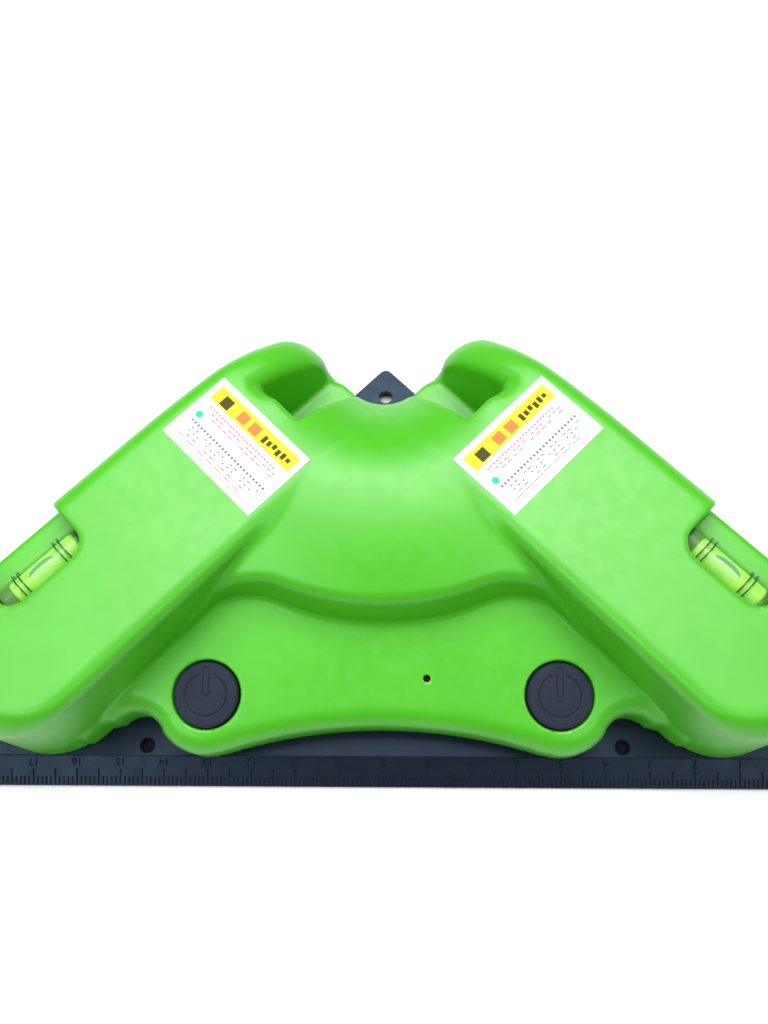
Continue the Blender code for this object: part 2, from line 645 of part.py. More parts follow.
def lasers():
    start = CHANNEL_WALL + WALL + GAP
    for word, side in SIDES.items():
        arm = frame_arm(side)
        barrel = along_x(rod(5.0, 0, 27.5, 28), start, BEAM_ACROSS, BEAM_Z)
        made = add(f"laser_barrel_{word}", barrel, arm, LOOKS["brass"])
        bore = along_x(rod(3.2, -1, 4.5, 20), start, BEAM_ACROSS, BEAM_Z)
        combine(made, helper(f"lens_bore_{word}", bore, arm), "DIFFERENCE")
        lens = turned([(2.2, 0), (2.8, 0.8), (2.8, 3.4)], 20)
        lens = along_x(lens, start + 0.4, BEAM_ACROSS, BEAM_Z)
        add(f"laser_lens_{word}", lens, arm, LOOKS["glass"])
        low, high = BEAM_ACROSS - CRADLE_HALF, BEAM_ACROSS + CRADLE_HALF
        ends = CLAMP_ALONG - 4, CLAMP_ALONG + 4
        strap = block(*ends, low, high, BEAM_Z, BEAM_Z + 6.6)
        clamp = add(f"laser_clamp_{word}", strap, arm, LOOKS["steel"])
        seat = along_x(rod(5.0 + GAP, 0, 30, 28), -50, BEAM_ACROSS, BEAM_Z)
        combine(clamp, helper(f"clamp_seat_{word}", seat, arm), "DIFFERENCE")
        for number, offset in enumerate(EAR_OFFSETS, 1):
            across = BEAM_ACROSS + offset
            shoulder = BEAM_ACROSS + math.copysign(ARCH_HALF, offset)
            inner, outer = sorted((shoulder, BEAM_ACROSS + 2 * offset))
            step = block(ends[0] - 1, ends[1] + 1, inner, outer, BEAM_Z + 1.6, BEAM_Z + 9)
            combine(clamp, helper(f"clamp_ear_{number}_{word}", step, arm), "DIFFERENCE")
            hole = moved(rod(1.1, BEAM_Z - 2, BEAM_Z + 4, 10), CLAMP_ALONG, across)
            combine(clamp, helper(f"clamp_hole_{number}_{word}", hole, arm), "DIFFERENCE")
            shank = [(0.75, BEAM_Z - 6), (0.75, BEAM_Z + 1.9)]
            name = f"clamp_screw_{word}_{number}"
            screw(name, 1.9, 1.2, BEAM_Z + 1.9, shank, CLAMP_ALONG, across, arm, down=False)


def vials_and_labels():
    end = VIAL_ALONG - VIAL_LENGTH / 2
    for word, side in SIDES.items():
        arm = frame_arm(side)
        tube = along_x(rod(VIAL_R, 0, VIAL_LENGTH, 24), end, VIAL_ACROSS, VIAL_Z)
        made = add(f"vial_tube_{word}", tube, arm, LOOKS["clear"])
        mouth = end - 1 if side > 0 else end + 1.2
        bore = along_x(rod(VIAL_R - 0.9, 0, VIAL_LENGTH - 0.2, 24), mouth, VIAL_ACROSS, VIAL_Z)
        combine(made, helper(f"vial_bore_{word}", bore, arm), "DIFFERENCE")
        inner = VIAL_R - 0.9 - GAP
        plug_at = end if side > 0 else end + VIAL_LENGTH - 2.4
        plug = along_x(rod(inner, 0, 2.4, 20), plug_at, VIAL_ACROSS, VIAL_Z)
        add(f"vial_plug_{word}", plug, arm, LOOKS["black"])
        fluid_at = end + 2.7 if side > 0 else end + 1.5
        fluid = along_x(rod(inner, 0, VIAL_LENGTH - 4.2, 20), fluid_at, VIAL_ACROSS, VIAL_Z)
        add(f"vial_fluid_{word}", fluid, arm, LOOKS["fluid"])
        low = ARM_TOP + GAP
        label = block(*LABEL, low, low + LABEL_THICK)
        add(f"label_{word}", label, arm, LOOKS["white"])


for leftover in list(bpy.data.objects):
    bpy.data.objects.remove(leftover)

LOOKS = {
    "helper": material("helper", (0.5, 0.5, 0.5), 0.8),
    "green": material("green_plastic", (0.16, 0.62, 0.05), 0.45),
    "black": material("black_plastic", (0.02, 0.025, 0.035), 0.5),
    "rubber": material("dark_rubber", (0.03, 0.035, 0.05), 0.7),
    "white": material("white_plastic", (0.85, 0.85, 0.85), 0.5),
    "red": material("red_plastic", (0.6, 0.03, 0.02), 0.4),
    "steel": material("bright_steel", (0.62, 0.62, 0.62), 0.3, 1.0),
    "brass": material("brass", (0.78, 0.57, 0.22), 0.3, 1.0),
    "board": material("board_green", (0.02, 0.2, 0.06), 0.4),
    "cell": material("cell_wrap", (0.12, 0.14, 0.2), 0.35),
    "glass": material("lens_glass", (0.8, 0.9, 0.95), 0.05),
    "clear": material("clear_acrylic", (0.85, 0.95, 0.8), 0.08),
    "fluid": material("level_fluid", (0.5, 0.9, 0.05), 0.1),
}

housing()
base_plate()
battery_door()
cells_and_contacts()
leads()
buttons_and_board()
housing_screws()
lasers()
vials_and_labels()
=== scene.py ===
"""The looks of a right-angle laser square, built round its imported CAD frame.

Sizes here are in millimetres. Plan positions are measured from the middle of the ruler
edge, X to the right and Y towards the apex. On an arm, "along" runs down the laser line
towards the front, and "across" runs outwards. Meshes are made in metres at the end.
"""

import json
import math

import bpy
import numpy as np
from mathutils import Matrix, Vector


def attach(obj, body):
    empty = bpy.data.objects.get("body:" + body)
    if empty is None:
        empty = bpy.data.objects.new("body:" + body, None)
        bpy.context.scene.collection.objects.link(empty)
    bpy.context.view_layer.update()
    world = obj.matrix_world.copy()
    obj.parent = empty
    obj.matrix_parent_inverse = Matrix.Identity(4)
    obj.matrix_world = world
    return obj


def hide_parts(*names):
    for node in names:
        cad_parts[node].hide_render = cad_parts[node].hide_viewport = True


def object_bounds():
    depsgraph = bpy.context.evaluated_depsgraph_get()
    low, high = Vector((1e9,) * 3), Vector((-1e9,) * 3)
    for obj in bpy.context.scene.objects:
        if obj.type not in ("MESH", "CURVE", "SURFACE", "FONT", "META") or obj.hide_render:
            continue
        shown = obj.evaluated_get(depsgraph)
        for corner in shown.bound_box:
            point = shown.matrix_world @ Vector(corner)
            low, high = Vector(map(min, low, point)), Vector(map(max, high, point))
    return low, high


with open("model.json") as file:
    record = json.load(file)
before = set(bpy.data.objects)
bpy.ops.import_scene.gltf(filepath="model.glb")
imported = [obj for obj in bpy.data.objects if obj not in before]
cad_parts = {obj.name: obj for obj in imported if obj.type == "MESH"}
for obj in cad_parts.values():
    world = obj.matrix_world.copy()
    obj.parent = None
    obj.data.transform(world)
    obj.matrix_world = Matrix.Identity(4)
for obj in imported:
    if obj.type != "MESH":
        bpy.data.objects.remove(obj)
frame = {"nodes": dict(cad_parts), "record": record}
CAD_BOX = [list(corner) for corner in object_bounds()]

MM = 0.001
SIDES = {"left": -1, "right": 1}
DEPTH = (CAD_BOX[1][1] - CAD_BOX[0][1]) / MM
HOME = Matrix.Scale(MM, 4) @ Matrix.Translation((0, -DEPTH / 2, 0))

# Housing shape
FLOOR = 3.05
WALL = 2.0
HALF_ROOT = math.sqrt(0.5)
APEX_HOLE_Y = 97.0
ARM_REAR, ARM_FRONT, ARM_IN, ARM_OUT, ARM_TOP = -60.4, 53.5, 52.9, 92.5, 35.0
OUTER_DRAFT, INNER_DRAFT = 0.045, 0.03
TAPER, TAPER_START = 0.09, -28.0
DROP, DROP_START = 0.0186, -34.0
ARC_R = 8.3
PANEL_Y, PANEL_Z, PANEL_TILT = 18.5, 16.0, math.radians(10.5)
PANEL = Matrix.Translation((0, PANEL_Y, PANEL_Z)) @ Matrix.Rotation(PANEL_TILT, 4, "X")
LOBE = (39.5, 17.6, 11.3)
SCALLOP = (54.5, 8.8, 6.3)
BROW_R, BROW_Y = 120.0, 12.2
CHANNEL_WALL, CHANNEL_MID, CHANNEL_HALF, CHANNEL_FLOOR = -40.6, 72.0, 5.0, 15.0
WINDOW_MID, WINDOW_HALF, WINDOW_IN, WINDOW_OUT = 20.8, 10.6, 77.0, 85.3
WINDOW_FLOOR, STRIP_TOP = 23.0, 27.0
BUTTON_HOLE_R, LAMP_HOLE_R, BEAM_HOLE_R = 7.5, 0.8, 3.0
BUTTON_R, BUTTON_X, BUTTON_TOP = 7.1, 38.4, 1.1
LAMP_SPOT = (9.7, 3.6)

# Nets grid: its corners and its steps for the shell's two sides
LOW, HIGH = (-99.6, 0.6, -2.1), (99.6, 105.0, 36.9)
OUTER_STEP, INNER_STEP = 0.73, 1.2


def ramp(value, low, high):
    """0 below low, 1 above high, and smooth in between."""
    share = np.clip((value - low) / (high - low), 0, 1)
    return share * share * (3 - 2 * share)


def meet(a, b, radius):
    """What two solids share, with the edge between them rounded."""
    near_a, near_b = np.maximum(a + radius, 0), np.maximum(b + radius, 0)
    return np.minimum(np.maximum(a, b), -radius) + np.hypot(near_a, near_b)


def fuse(a, b, radius):
    """Two solids joined, with a fillet in the corner between them."""
    return -meet(-a, -b, radius)


def arm_sides(x, y, z):
    """Distances outside an arm's four drafted walls, and its own two directions."""
    along, across = (x - y) * HALF_ROOT, (x + y) * HALF_ROOT
    rise = np.maximum(z, 0)
    out = across - (ARM_OUT - OUTER_DRAFT * rise)
    into = ARM_IN + INNER_DRAFT * rise - across
    front = along - (ARM_FRONT - OUTER_DRAFT * rise)
    rear = ARM_REAR + OUTER_DRAFT * rise - along
    return along, across, out, into, front, rear


def softest(a, b, width):
    """The larger of two distances, eased where they are nearly equal."""
    near = np.maximum(width - np.abs(a - b), 0) / width
    return np.maximum(a, b) + near * near * width / 4


def corner_field(a, b, long_a, long_b):
    """Where two walls meet in an elliptical corner that long."""
    p, q = np.maximum(a / long_a + 1, 0), np.maximum(b / long_b + 1, 0)
    near = np.hypot(p, q)
    bend = near * (near - 1) / np.maximum(np.hypot(p / long_a, q / long_b), 1e-6)
    return np.where((p > 0) & (q > 0), bend, np.maximum(a, b))


def slope_top(r):
    """How high the roof is at a distance from the apex hole, where it falls towards it."""
    fall = 0.0094 * np.maximum(38.0 - r, 0) ** 2.2
    return ARM_TOP - fall - 0.2 * np.maximum(13.0 - r, 0) ** 2


def arm_field(x, y, z):
    along, across, out, into, front, rear = arm_sides(x, y, z)
    out = softest(out, out + TAPER * (TAPER_START - along), 1.5)
    walls = meet(meet(out, rear, 6.0), front, 12.0)
    inner = corner_field(into, front, 15.5, 18.0)
    walls = meet(walls, inner, 0.5)
    outer_top = ARM_TOP - DROP * np.maximum(DROP_START - along, 0) ** 2
    inner_top = slope_top(np.hypot(x, y - APEX_HOLE_Y))
    top = inner_top + (outer_top - inner_top) * ramp(across, 67, 75)
    edge = 3.2 + 1.5 * ramp(across, 64, 84) + 4.5 * ramp(along, 36, 50)
    return meet(walls, z - top, edge)


def dome_field(x, y, z):
    along, across, _, into, _, _ = arm_sides(x, y, z)
    side = np.maximum(np.maximum(into, across - 70), along - 24)
    back = y - APEX_HOLE_Y
    r = np.hypot(x, back)
    top = z - slope_top(r) + 0.1 + 0.0073 * np.maximum(r - 34.0, 0) ** 2
    wall = fuse(r - (63.6 - 0.24 * (z - 18.0)), side, 10.0)
    dome = meet(wall, top, 2.0)
    return meet(dome, 0.643 * x + 0.766 * back, 1.0)


def polygon_field(x, y, points):
    """Signed distance to a polygon in plan."""
    best = np.full(x.shape, 1e9, np.float32)
    inside = np.zeros(x.shape, bool)
    for (x0, y0), (x1, y1) in zip(points, points[1:] + points[:1]):
        ex, ey = x1 - x0, y1 - y0
        wx, wy = x - x0, y - y0
        t = np.clip((wx * ex + wy * ey) / (ex * ex + ey * ey), 0, 1)
        best = np.minimum(best, (wx - ex * t) ** 2 + (wy - ey * t) ** 2)
        if y0 != y1:
            crosses = (y0 > y) != (y1 > y)
            inside ^= crosses & (wx < ex * wy / ey)
    return np.where(inside, -1, 1) * np.sqrt(best)


def panel_field(x, y, z):
    lx, ly, lr = LOBE
    sx, sy, sr = SCALLOP
    brow_y = BROW_Y - BROW_R
    to_brow = math.atan2(brow_y - ly, -lx)
    to_notch = math.atan2(sy - ly, sx - lx)
    first = (lx + lr * math.cos(to_brow), ly + lr * math.sin(to_brow))
    second = (lx + lr * math.cos(to_notch), ly + lr * math.sin(to_notch))
    past = [(60.5, 13.4), (64, 17), (42, 46), (-80, 52)]
    body = polygon_field(x, y, [(-80, first[1] - 9), first, second, *past])
    plan = np.minimum(body, np.hypot(x - lx, y - ly) - lr)
    plan = np.maximum(plan, BROW_R - np.hypot(x, y - brow_y))
    plan = np.maximum(plan, sr - np.hypot(x - sx, y - sy))
    along, across, _, into, _, _ = arm_sides(x, y, z)
    strip = np.maximum(np.maximum(into, across - 60), np.maximum(along - 40, -16 - along))
    plan = fuse(plan, strip, 3.0)
    above = (z - PANEL_Z) * math.cos(PANEL_TILT) - (y - PANEL_Y) * math.sin(PANEL_TILT)
    return meet(plan, above, 4.5)


def body_field(x, y, z):
    """The outside of the housing, without its bottom."""
    x = np.abs(x)
    along, across = (x - y) * HALF_ROOT, (x + y) * HALF_ROOT
    crease = 0.1 + 1.9 * ramp(np.hypot(x, y - APEX_HOLE_Y), 36, 52)
    solid = fuse(arm_field(x, y, z), dome_field(x, y, z), crease)
    solid = fuse(solid, panel_field(x, y, z), 1.2)
    arc = ARC_R - np.hypot(x, y - APEX_HOLE_Y)
    solid = meet(solid, arc, 1.0)
    outer = across - CHANNEL_MID - CHANNEL_HALF - 0.18 * (z - CHANNEL_FLOOR)
    inner = CHANNEL_MID - CHANNEL_HALF - across
    channel = meet(meet(along - CHANNEL_WALL, inner, 0.6), outer, 0.8)
    channel = meet(channel, CHANNEL_FLOOR - z, 1.0)
    solid = meet(solid, -channel, 0.7 + 3.0 * ramp(across, 73, 78))
    opening = meet(np.abs(along - WINDOW_MID) - WINDOW_HALF, WINDOW_IN - across, 4.5)
    strip = np.maximum(opening, STRIP_TOP - z)
    well = meet(np.maximum(opening, WINDOW_FLOOR - z), across - WINDOW_OUT, 0.9)
    return meet(solid, -np.minimum(strip, well), 0.8)


def outside_field(x, y, z):
    return np.maximum(body_field(x, y, z), FLOOR - z)


def inside_field(x, y, z):
    return np.maximum(body_field(x, y, z) + WALL, -z)


def nets(field, low, high, step):
    """A closed mesh of quads where a field crosses zero, settled onto the field."""
    axes = [np.arange(lo, hi + step, step, dtype=np.float32) for lo, hi in zip(low, high)]
    grid = np.meshgrid(*axes, indexing="ij")
    values = field(*grid).astype(np.float32)
    inside = values < 0
    cells = tuple(n - 1 for n in values.shape)
    count = np.zeros(cells, np.uint8)
    for i in (0, 1):
        for j in (0, 1):
            for k in (0, 1):
                count += inside[i : cells[0] + i, j : cells[1] + j, k : cells[2] + k]
    spots = np.argwhere((count > 0) & (count < 8))
    number = np.full(cells, -1, np.int64)
    number[tuple(spots.T)] = np.arange(len(spots))
    total = np.zeros((len(spots), 3))
    hits = np.zeros(len(spots))
    for axis in range(3):
        for i in (0, 1):
            for j in (0, 1):
                start = np.zeros(3, int)
                start[(axis + 1) % 3], start[(axis + 2) % 3] = i, j
                end = start.copy()
                end[axis] = 1
                v0 = values[tuple((spots + start).T)]
                v1 = values[tuple((spots + end).T)]
                cut = (v0 < 0) != (v1 < 0)
                share = np.where(cut, v0 / np.where(cut, v0 - v1, 1), 0)
                spot = spots + start + share[:, None] * (end - start)
                total[cut] += spot[cut]
                hits[cut] += 1
    points = np.array(low) + total / hits[:, None] * step
    reach = step * 0.05
    for _ in range(3):
        here = field(*points.T)
        slope = np.stack(
            [
                (field(*(points + off).T) - field(*(points - off).T)) / (2 * reach)
                for off in np.eye(3) * reach
            ],
            axis=1,
        )
        size = np.maximum((slope**2).sum(1), 0.1)
        move = -(here / size)[:, None] * slope
        far = np.linalg.norm(move, axis=1) / (step * 0.5)
        points += move / np.maximum(far, 1)[:, None]
    faces = []
    for axis in range(3):
        u, v = (axis + 1) % 3, (axis + 2) % 3
        lower = [slice(None)] * 3
        upper = [slice(None)] * 3
        lower[axis], upper[axis] = slice(None, -1), slice(1, None)
        change = inside[tuple(lower)] != inside[tuple(upper)]
        edge = np.argwhere(change)
        edge = edge[(edge[:, u] > 0) & (edge[:, v] > 0)]
        edge = edge[(edge[:, u] < cells[u]) & (edge[:, v] < cells[v])]
        flip = inside[tuple(edge.T)]
        ring = []
        for du, dv in ((1, 1), (0, 1), (0, 0), (1, 0)):
            cell = edge.copy()
            cell[:, u] -= du
            cell[:, v] -= dv
            ring.append(number[tuple(cell.T)])
        ring = np.stack(ring, axis=1)
        ring[~flip] = ring[~flip][:, ::-1]
        faces.append(ring)
    return points.tolist(), np.concatenate(faces).tolist()


def stand(made):
    """Puts a new object in the scene."""
    bpy.context.scene.collection.objects.link(made)


def add_modifier(target, kind, **settings):
    step = target.modifiers.new(kind.lower(), kind)
    for name, value in settings.items():
        setattr(step, name, value)


def bake(target):
    """Applies the modifiers of an object to its mesh."""
    shown = target.evaluated_get(bpy.context.evaluated_depsgraph_get())
    mesh = bpy.data.meshes.new_from_object(shown)
    target.modifiers.clear()
    target.data = mesh


def cut_with(target, tool):
    """Takes the tool's shape out of the target, and the tool out of the scene."""
    add_modifier(target, "BOOLEAN", operation="DIFFERENCE", object=tool, solver="MANIFOLD")
    bake(target)
    bpy.data.objects.remove(tool)


def lathe(profile, steps=48):
    """Points and faces of a solid turned about Z from (radius, height) pairs, low to high."""
    turns = np.arange(steps) * (2 * math.pi / steps)
    points = [(r * math.cos(t), r * math.sin(t), z) for r, z in profile for t in turns]
    faces = []
    for level in range(len(profile) - 1):
        base = level * steps
        for i in range(steps):
            j = (i + 1) % steps
            faces.append((base + i, base + j, base + steps + j, base + steps + i))
    faces.append(tuple(range(steps))[::-1])
    top = (len(profile) - 1) * steps
    faces.append(tuple(range(top, top + steps)))
    return points, faces


def raw_object(name, points, faces, look=None, place=None):
    """An object in millimetres from points and faces of any size, put in place."""
    mesh = bpy.data.meshes.new(name)
    mesh.from_pydata([tuple(p) for p in points], [], [tuple(f) for f in faces])
    mesh.transform(HOME @ place if place is not None else HOME)
    if look is not None:
        mesh.materials.append(look)
    mesh.shade_smooth()
    made = bpy.data.objects.new(name, mesh)
    stand(made)
    return made


def at(x, y, z=0.0):
    return Matrix.Translation((x, y, z))


def arm_place(side):
    turn = Matrix(
        ((side * HALF_ROOT, side * HALF_ROOT, 0), (-HALF_ROOT, HALF_ROOT, 0), (0, 0, 1))
    )
    return turn.to_4x4()


BEAM = Matrix.Translation((CHANNEL_WALL - 3, 72.5, 22.0)) @ Matrix.Rotation(math.pi / 2, 4, "Y")


def housing(look):
    shell = raw_object("housing_shell", *nets(outside_field, LOW, HIGH, OUTER_STEP), look)
    hollow = raw_object("hollow", *nets(inside_field, LOW, HIGH, INNER_STEP), look)
    cut_with(shell, hollow)
    for side in SIDES.values():
        rim = BUTTON_HOLE_R
        hole = lathe([(rim, -6), (rim, -0.35), (rim + 0.35, 0.0), (rim + 0.7, 0.35)], 96)
        cut_with(shell, raw_object("hole", *hole, place=PANEL @ at(side * BUTTON_X, 0)))
        arm = arm_place(side)
        beam = lathe([(BEAM_HOLE_R, 0), (BEAM_HOLE_R, 6)])
        beam = raw_object("hole", *beam, place=arm @ BEAM)
        flip_if_mirrored(beam.data, arm)
        cut_with(shell, beam)
    hole = lathe([(LAMP_HOLE_R, -6), (LAMP_HOLE_R, -0.1), (LAMP_HOLE_R + 0.3, 0.2)], 32)
    cut_with(shell, raw_object("hole", *hole, place=PANEL @ at(*LAMP_SPOT)))
    shell.data.set_sharp_from_angle(angle=math.radians(50))
    return shell


class Look:
    """A node-based material: its shader, and the patterns that feed it."""

    def __init__(self, name, colour, roughness, **sockets):
        self.made = bpy.data.materials.new(name)
        self.made.use_nodes = True
        self.tree = self.made.node_tree
        self.shader = self.tree.nodes["Principled BSDF"]
        self.colour = colour
        self.shader.inputs["Base Color"].default_value = (*colour, 1)
        self.shader.inputs["Roughness"].default_value = roughness
        for socket, value in sockets.items():
            self.shader.inputs[socket.replace("_", " ")].default_value = value
        self.place = self.tree.nodes.new("ShaderNodeTexCoord").outputs["Object"]
        self.height = None

    def node(self, kind, inputs=None, **settings):
        made = self.tree.nodes.new("ShaderNode" + kind)
        for name, value in settings.items():
            setattr(made, name, value)
        for name, value in (inputs or {}).items():
            if isinstance(value, bpy.types.NodeSocket):
                self.tree.links.new(value, made.inputs[name])
            else:
                made.inputs[name].default_value = value
        return made

    def noise(self, size, detail=3.0, stretch=(1, 1, 1)):
        """Noise whose features are about size millimetres across."""
        place = self.node("Mapping", {"Vector": self.place, "Scale": stretch}).outputs["Vector"]
        inputs = {"Vector": place, "Scale": 1 / (size * MM), "Detail": detail}
        return self.node("TexNoise", inputs).outputs["Fac"]

    def spread(self, value, low, high, frm=0.3, to=0.7):
        inputs = {"Value": value, "From Min": frm, "From Max": to, "To Min": low, "To Max": high}
        return self.node("MapRange", inputs).outputs["Result"]

    def vary_colour(self, value, darker, lighter):
        """Lets a pattern run the colour between two strengths of itself."""
        low = [c * darker for c in self.colour]
        high = [min(c * lighter, 1) for c in self.colour]
        return self.blend_colour(value, low, high)

    def blend_colour(self, value, low, high):
        step = self.node("Mix", {"Factor": value}, data_type="RGBA")
        step.inputs["A"].default_value = (*low, 1)
        step.inputs["B"].default_value = (*high, 1)
        self.tree.links.new(step.outputs["Result"], self.shader.inputs["Base Color"])
        return self

    def vary_roughness(self, value, low, high):
        self.tree.links.new(self.spread(value, low, high), self.shader.inputs["Roughness"])
        return self

    def bump(self, value, depth, strength=1.0):
        """Raises the surface by a pattern, up to depth millimetres."""
        inputs = {"Height": value, "Distance": depth * MM, "Strength": strength}
        if self.height is not None:
            inputs["Normal"] = self.height
        self.height = self.node("Bump", inputs).outputs["Normal"]
        self.tree.links.new(self.height, self.shader.inputs["Normal"])
        return self


def moulded(name, colour, roughness, grain=0.35, depth=0.01, **sockets):
    """Moulded plastic: fine even grain, faint flow marks and slightly uneven gloss."""
    look = Look(name, colour, roughness, **sockets)
    look.vary_colour(look.spread(look.noise(14.0, 2.0), 0, 1), 0.96, 1.04)
    look.vary_roughness(look.noise(3.0), roughness - 0.04, roughness + 0.05)
    return look.bump(look.noise(grain, 4.0), depth).made


def metal(name, colour, roughness, grain, stretch=(1, 1, 1)):
    look = Look(name, colour, roughness, Metallic=1.0)
    streaks = look.noise(grain, 3.0, stretch)
    look.vary_colour(look.spread(streaks, 0, 1), 0.88, 1.06)
    look.vary_roughness(streaks, roughness - 0.08, roughness + 0.12)
    return look.bump(streaks, 0.008).made


def laminate():
    """Green lacquer over copper tracks that run square to each other."""
    look = Look("board_laminate", (0.012, 0.16, 0.05), 0.3)
    cells = look.node(
        "TexVoronoi",
        {"Vector": look.place, "Scale": 420.0, "Randomness": 0.35},
        distance="MANHATTAN",
        feature="F1",
    ).outputs["Distance"]
    look.vary_colour(look.spread(cells, 0, 1, 0.25, 0.3), 0.6, 1.7)
    return look.bump(cells, 0.02).made


def wrapped_cell():
    """A cell's printed wrap: slate with a copper band at the end of each cell."""
    look = Look("cell_wrap", (0.05, 0.06, 0.09), 0.28, Metallic=0.6)
    side = look.node("SeparateXYZ", {"Vector": look.place}).outputs["X"]
    distance = look.node("Math", {0: side}, operation="ABSOLUTE").outputs["Value"]
    band = look.spread(distance, 0, 1, 0.0128, 0.0130)
    look.blend_colour(band, (0.05, 0.06, 0.09), (0.62, 0.26, 0.09))
    return look.bump(look.noise(0.5), 0.006).made


def liquid():
    """The vial's dyed liquid, with a slow drift of tone."""
    look = Look("level_fluid", (0.33, 0.72, 0.06), 0.25, Coat_Weight=0.2)
    drift = look.spread(look.noise(5.0, 1.0), 0, 1)
    return look.blend_colour(drift, (0.22, 0.62, 0.07), (0.38, 0.72, 0.05)).made


def clear(name, tint, roughness=0.03):
    """Clear moulded plastic or glass, with the faintest ripple."""
    look = Look(name, tint, roughness, Transmission_Weight=1.0, IOR=1.18)
    look.vary_colour(look.spread(look.noise(6.0), 0, 1), 0.97, 1.0)
    return look.bump(look.noise(2.0, 1.0), 0.004).made


def thin_clear(name, tint, strength):
    """A clear wall too thin to bend light: it lets most through and keeps its gloss."""
    look = Look(name, tint, 0.08, Alpha=strength, Specular_IOR_Level=0.6)
    look.vary_colour(look.spread(look.noise(6.0), 0, 1), 0.95, 1.05)
    return look.bump(look.noise(2.0, 1.0), 0.004).made


def ink(name, colour):
    return moulded("ink_" + name, colour, 0.5, 0.8, 0.003, Specular_IOR_Level=0.1)


LOOKS = {
    "green_plastic": moulded(
        "green_shell", (0.054, 0.38, 0.005), 0.38, 0.5, 0.006, Specular_IOR_Level=0.55
    ),
    "black_plastic": moulded(
        "black_plastic", (0.005, 0.0065, 0.012), 0.36, 0.4, 0.008,
        Specular_IOR_Level=0.33, Specular_Tint=(0.46, 0.70, 1.0, 1.0),
    ),  # fmt: skip
    "dark_rubber": moulded(
        "dark_rubber", (0.015, 0.020, 0.034), 0.62, 0.25, 0.012, Specular_IOR_Level=0.15
    ),
    "white_plastic": moulded("white_plastic", (0.78, 0.78, 0.76), 0.45),
    "dark_fitting": moulded("dark_fitting", (0.012, 0.013, 0.014), 0.5),
    "cell_wrap": wrapped_cell(),
    "plated_steel": metal("plated_steel", (0.62, 0.62, 0.60), 0.32, 0.6),
    "red_plastic": moulded("red_lamp", (0.52, 0.02, 0.015), 0.3, 0.6, 0.004),
    "lead_cover": moulded("lead_cover", (0.02, 0.02, 0.02), 0.45, 0.3, 0.01),
    "bright_steel": metal("bright_steel", (0.70, 0.70, 0.70), 0.25, 0.5, (1, 6, 1)),
    "brass": metal("turned_brass", (0.80, 0.58, 0.22), 0.28, 0.4, (6, 6, 1)),
    "lens_glass": clear("lens_glass", (0.92, 0.96, 1.0)),
    "clear_acrylic": thin_clear("clear_acrylic", (0.36, 0.80, 0.20), 0.13),
    "level_fluid": liquid(),
    "label_film": moulded("label_film", (0.66, 0.68, 0.68), 0.3, 1.2, 0.004),
    "board_laminate": laminate(),
}
INKS = {
    "yellow": ink("yellow", (0.62, 0.54, 0.03)),
    "orange": ink("orange", (0.75, 0.19, 0.05)),
    "olive": ink("olive", (0.06, 0.055, 0.012)),
    "violet": ink("violet", (0.22, 0.18, 0.36)),
    "magenta": ink("magenta", (0.62, 0.14, 0.36)),
    "cyan": ink("cyan", (0.48, 0.72, 0.70)),
    "emerald": ink("emerald", (0.02, 0.62, 0.30)),
    "grey": ink("grey", (0.16, 0.16, 0.20)),
}
# Painted shade round the edge of a vial's bubble, and painted light inside it
BUBBLE_PAINTED_SHADE = moulded("bubble_painted_shade", (0.05, 0.19, 0.17), 0.2, 0.8, 0.003)
BUBBLE_PAINTED_LIGHT = moulded("bubble_painted_light", (0.33, 0.62, 0.17), 0.15, 0.8, 0.003)
PLUG_LOOK = moulded("plug_green", (0.006, 0.034, 0.018), 0.5, 0.8, 0.003, Specular_IOR_Level=0.2)
MARK_INK = moulded("mark_ink", (0.006, 0.008, 0.014), 0.7, 0.4, 0.008, Specular_IOR_Level=0.08)
RING_INK = moulded("ring_ink", (0.008, 0.075, 0.018), 0.3, 0.8, 0.003)


def settle(piece, body, slot, *nodes):
    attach(piece, body)
    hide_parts(*nodes)


def flip_if_mirrored(mesh, place):
    if place is not None and place.determinant() < 0:
        mesh.flip_normals()


class Parts:
    """Many closed shapes gathered into one mesh, each with its own look."""

    def __init__(self, name, looks):
        self.name, self.looks = name, looks
        self.points, self.faces, self.kinds = [], [], []

    def add(self, shape, kind=0, place=None):
        points, faces = shape
        start = len(self.points)
        mirrored = place is not None and place.determinant() < 0
        for point in points:
            spot = Vector(point)
            self.points.append(place @ spot if place is not None else spot)
        for face in faces:
            ring = [start + i for i in face]
            self.faces.append(ring[::-1] if mirrored else ring)
            self.kinds.append(kind)
        return self

    def finish(self, body, slot, *nodes, place=None, sharp=40):
        made = raw_object(self.name, self.points, self.faces, None, place)
        for look in self.looks:
            made.data.materials.append(look)
        made.data.polygons.foreach_set("material_index", self.kinds)
        flip_if_mirrored(made.data, place)
        made.data.set_sharp_from_angle(angle=math.radians(sharp))
        settle(made, body, slot, *nodes)
        return made


def slab(x0, x1, y0, y1, z0, z1, soft=0.0):
    """A block whose upper rim is eased by soft."""
    rings = [(0, z0), (0, z1 - soft), (soft, z1)] if soft else [(0, z0), (0, z1)]
    points, faces = [], []
    for inset, z in rings:
        a, b, c, d = x0 + inset, x1 - inset, y0 + inset, y1 - inset
        points += [(a, c, z), (b, c, z), (b, d, z), (a, d, z)]
    for level in range(len(rings) - 1):
        base = 4 * level
        for i in range(4):
            j = (i + 1) % 4
            faces.append((base + i, base + j, base + 4 + j, base + 4 + i))
    last = 4 * (len(rings) - 1)
    return points, [*faces, (3, 2, 1, 0), tuple(range(last, last + 4))]


def along_arm(a, b, z):
    """Lays a shape that stands on Z along an arm, with its foot at the point."""
    turn = Matrix(((0, 0, 1), (0, 1, 0), (-1, 0, 0))).to_4x4()
    return Matrix.Translation((a, b, z)) @ turn


